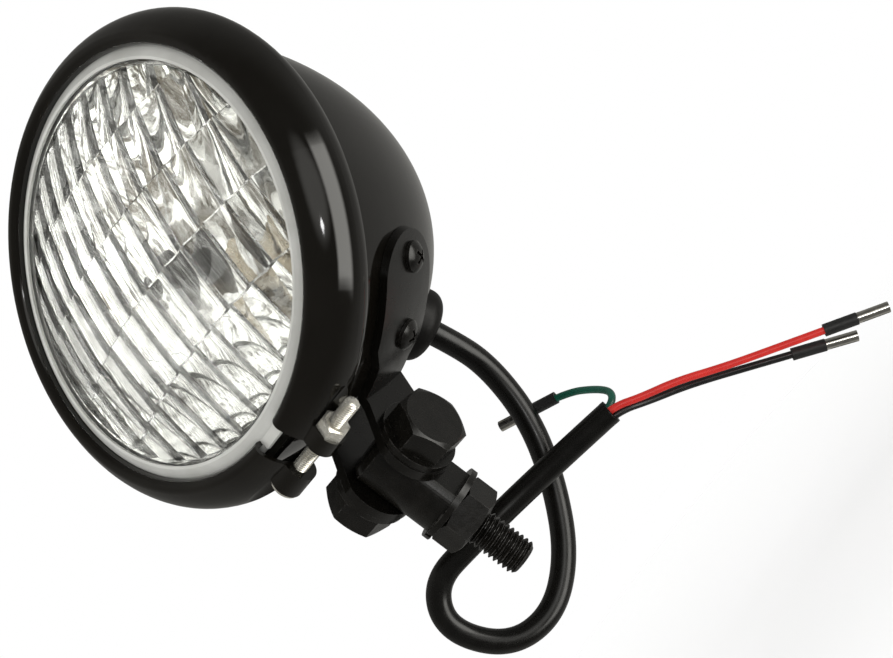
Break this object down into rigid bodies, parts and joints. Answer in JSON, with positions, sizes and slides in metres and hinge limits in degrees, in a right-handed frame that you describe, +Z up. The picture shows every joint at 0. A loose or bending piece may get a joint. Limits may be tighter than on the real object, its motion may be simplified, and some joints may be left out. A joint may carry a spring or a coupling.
{
  "type": "motorcycle headlight",
  "caption": "Small round motorcycle headlight with a fluted lens in a clamped rim, bowl-shaped shell, tilting bracket on a threaded stud, and a short cable with bullet connectors.",
  "frame": {"origin": "on the stud's axis, at the lower face of the stud nut, where the bracket that holds the lamp begins", "axes": "+Z up along the stud, -Y forward along the bike, +X to the rider's left"},
  "size_m": [0.1409, 0.1142, 0.2165],
  "materials": {
    "gloss_black": "gloss black paint",
    "satin_black": "satin black paint",
    "black_steel": "black oxide, slightly oiled",
    "zinc_steel": "zinc plated, faintly yellow",
    "lens_glass": "clear pressed glass, fluted inside",
    "ring_metal": "bright satin",
    "reflector_mirror": "bright metallised",
    "seal_rubber": "matt",
    "bulb_glass": "clear",
    "bulb_brass": "dull",
    "socket_plastic": "matt black",
    "grommet_rubber": "satin",
    "sheath_black": "satin black",
    "wire_red": "satin red",
    "wire_black": "satin black",
    "wire_green": "satin green",
    "sleeve_black": "matt black",
    "bullet_metal": "tinned, bright"
  },
  "bodies": {
    "stud": {"swivel_stud": "black_steel", "stud_nut": "black_steel", "stud_lock_washer": "black_steel", "pivot_bolts": "black_steel", "pivot_nut": "black_steel", "pivot_flat_washers": "black_steel"},
    "lamp": {"bracket_left": "satin_black", "bracket_right": "satin_black", "headlamp_shell": "gloss_black", "clamp_rim": "gloss_black", "rim_screw": "zinc_steel", "rim_nut": "zinc_steel", "lens": "lens_glass", "lens_ring": "ring_metal", "lens_seal": "seal_rubber", "reflector": "reflector_mirror", "bulb_base": "bulb_brass", "bulb_glass": "bulb_glass", "bulb_retainer": "zinc_steel", "bulb_socket": "socket_plastic", "inner_lead": "sheath_black", "bracket_screws": "black_steel", "bracket_nuts": "zinc_steel", "cable_grommet": "grommet_rubber", "cable_sheath": "sheath_black", "wire_red": "wire_red", "sleeve_red": "sleeve_black", "bullet_red": "bullet_metal", "wire_black": "wire_black", "sleeve_black": "sleeve_black", "bullet_black": "bullet_metal", "wire_green": "wire_green", "sleeve_green": "sleeve_black", "bullet_green": "bullet_metal"}
  },
  "joints": [
    {"name": "tilt", "type": "hinge", "parent": "stud", "child": "lamp", "pos_m": [0, 0, 0.0263], "axis": [1, 0, 0], "range_deg": [-20, 60]}
  ]
}
